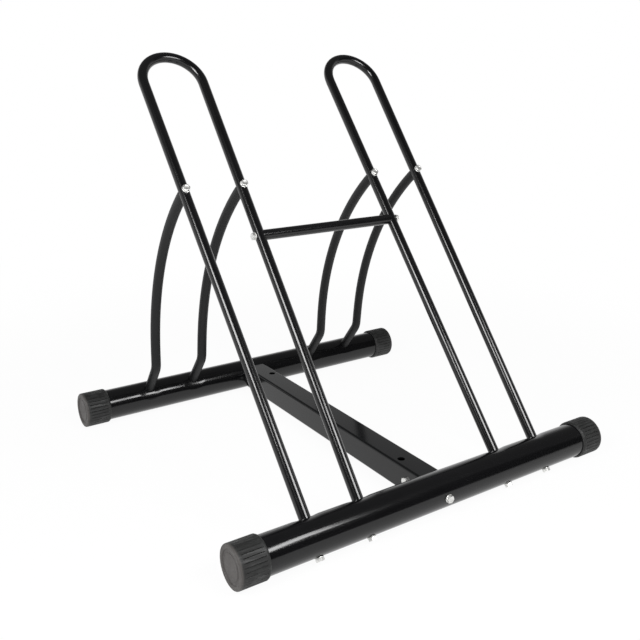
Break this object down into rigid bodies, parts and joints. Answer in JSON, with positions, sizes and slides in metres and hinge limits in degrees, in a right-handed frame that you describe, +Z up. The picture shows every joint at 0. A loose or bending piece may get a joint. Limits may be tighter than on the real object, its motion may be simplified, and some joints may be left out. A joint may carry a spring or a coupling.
{
  "type": "floor bike rack",
  "caption": "Freestanding floor rack: tall hoops of bent tube lean back from a front base tube onto curved supports on a rear one, and each hoop holds a bicycle wheel upright.",
  "frame": {"origin": "on the floor under the middle of the rack: centre of the footprint, at the height where the rubber caps touch the floor", "axes": "+Z up; X along the two base tubes; +Y from the front base tube, which carries the hoops, to the rear one, which carries the curved supports; a wheel rolls in along +Y"},
  "size_m": [0.642, 0.5912, 0.6137],
  "materials": {
    "coat": "gloss black powder coat",
    "cap_rubber": "matte",
    "bare_steel": "bare steel, hidden inside the tubes",
    "zinc": "bright zinc plating"
  },
  "bodies": {
    "root": {"front_base_tube": "coat", "rear_base_tube": "coat", "hoop_left": "coat", "hoop_right": "coat", "crossbar": "coat", "support_left_outer": "coat", "support_left_inner": "coat", "support_right_inner": "coat", "support_right_outer": "coat", "centre_bar": "coat", "cap_front_left": "cap_rubber", "cap_front_right": "cap_rubber", "cap_rear_left": "cap_rubber", "cap_rear_right": "cap_rubber", "bracket_front": "bare_steel", "bracket_rear": "bare_steel", "bracket_nuts": "bare_steel", "leg_plugs": "bare_steel", "foot_plugs": "bare_steel", "support_plugs": "bare_steel", "crossbar_plugs": "bare_steel", "leg_bolts": "zinc", "leg_washers": "zinc", "foot_bolts": "zinc", "foot_washers": "zinc", "support_bolts": "zinc", "support_washers": "zinc", "crossbar_bolts": "zinc", "crossbar_washers": "zinc", "bracket_bolts": "zinc", "bracket_washers": "zinc", "cross_bolts": "zinc", "cross_nuts": "zinc"}
  },
  "joints": []
}
